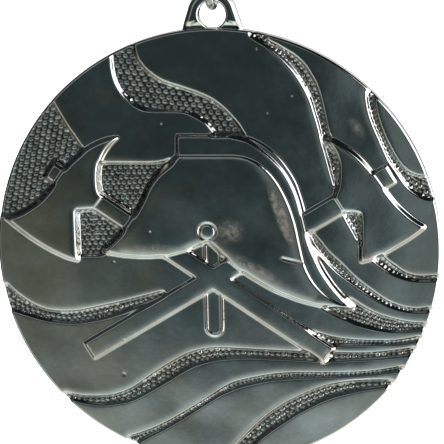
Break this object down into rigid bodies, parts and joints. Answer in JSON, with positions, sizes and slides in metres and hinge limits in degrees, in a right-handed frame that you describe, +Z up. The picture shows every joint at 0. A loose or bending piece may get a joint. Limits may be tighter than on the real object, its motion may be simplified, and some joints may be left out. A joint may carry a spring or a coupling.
{
  "type": "sports finisher medal",
  "caption": "Round die-cast medal with a raised helmet and crossed-axes emblem, hung by its ear from a jump ring, with an engraving plate in its reverse.",
  "frame": {"origin": "centre of the disc, in the plane of its back, which is also the outer face of the engraving plate", "axes": "+Z up through the ear and the ring as the medal hangs, -Y out of the front with the emblem, +Y out of the reverse, +X to the right as the front is seen"},
  "size_m": [0.05, 0.01, 0.0619],
  "materials": {
    "plated_casting": "bright nickel plate over die-cast zinc",
    "engraving_plate": "fine brushed, clear anodised",
    "adhesive_film": "double-sided acrylic adhesive film",
    "ring_wire": "bright nickel plate over steel wire"
  },
  "bodies": {
    "ring": {"jump_ring": "ring_wire"},
    "medal": {"medal_casting": "plated_casting", "reverse_plate": "engraving_plate", "plate_adhesive": "adhesive_film"}
  },
  "joints": [
    {"name": "ear_swing", "type": "hinge", "parent": "ring", "child": "medal", "pos_m": [0, -0.001, 0.03186], "axis": [1, 0, 0], "range_deg": [-135, 135]}
  ]
}
